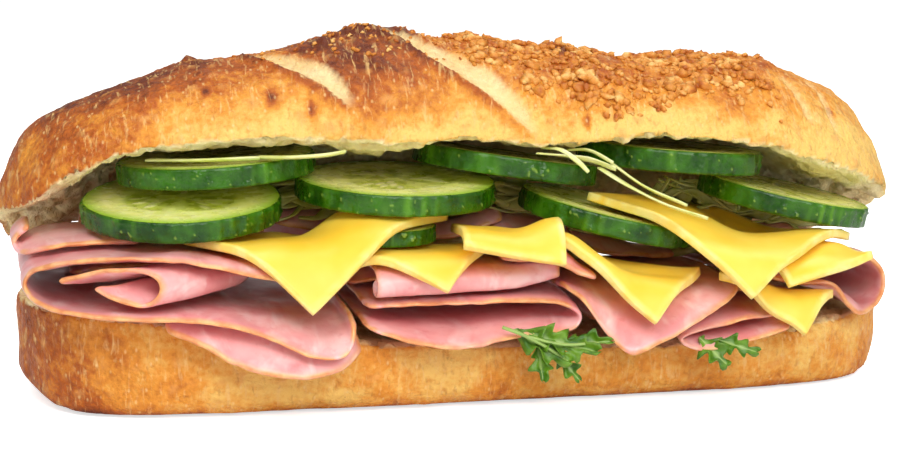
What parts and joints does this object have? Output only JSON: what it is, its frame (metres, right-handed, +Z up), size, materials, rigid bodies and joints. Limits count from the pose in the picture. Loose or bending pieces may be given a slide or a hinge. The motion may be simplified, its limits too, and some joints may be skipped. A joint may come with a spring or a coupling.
{
  "type": "submarine sandwich",
  "caption": "Long crusty baguette cut lengthwise and filled with folded ham, cheese slices and cucumber slices, lying on its flat underside.",
  "frame": {"origin": "centre of the bounding box at the flat underside of the bread", "axes": "+X along the sandwich, -Y towards the open front where the filling shows, +Z up"},
  "size_m": [0.2128, 0.0922, 0.0821],
  "materials": {
    "bread": "baked crust, golden brown, matt with a faint sheen; soft pale crumb on the cut faces",
    "ham": "cooked ham, pink, moist, with a tan rind edge",
    "cheese": "smooth yellow sliced cheese, satin",
    "cucumber": "fresh cucumber, dark green ridged skin around pale wet flesh"
  },
  "bodies": {
    "root": {"bread_lower": "bread", "ham_left_flap": "ham", "ham_right_fold": "ham", "ham_left_fold": "ham", "ham_left_curl": "ham", "ham_left_core": "ham", "ham_middle_fold": "ham", "ham_middle_core": "ham", "ham_right_core": "ham", "ham_right_tongue": "ham", "cheese_right_low": "cheese", "ham_right_curl": "ham", "ham_middle_roll": "ham", "ham_middle_tip": "ham", "ham_left_end": "ham", "cheese_right_small": "cheese", "cheese_middle_small": "cheese", "cheese_right_end": "cheese", "cucumber_small_middle": "cucumber", "cheese_middle_high": "cheese", "cheese_left": "cheese", "ham_back_left": "ham", "ham_back_right": "ham", "ham_back_middle": "ham", "ham_back_end": "ham", "cucumber_left": "cucumber", "cucumber_middle": "cucumber", "cucumber_right": "cucumber", "cheese_top": "cheese", "cucumber_right_end": "cucumber", "cucumber_top_left": "cucumber", "cucumber_top_middle": "cucumber", "cucumber_top_right": "cucumber", "bread_upper": "bread"}
  },
  "joints": []
}
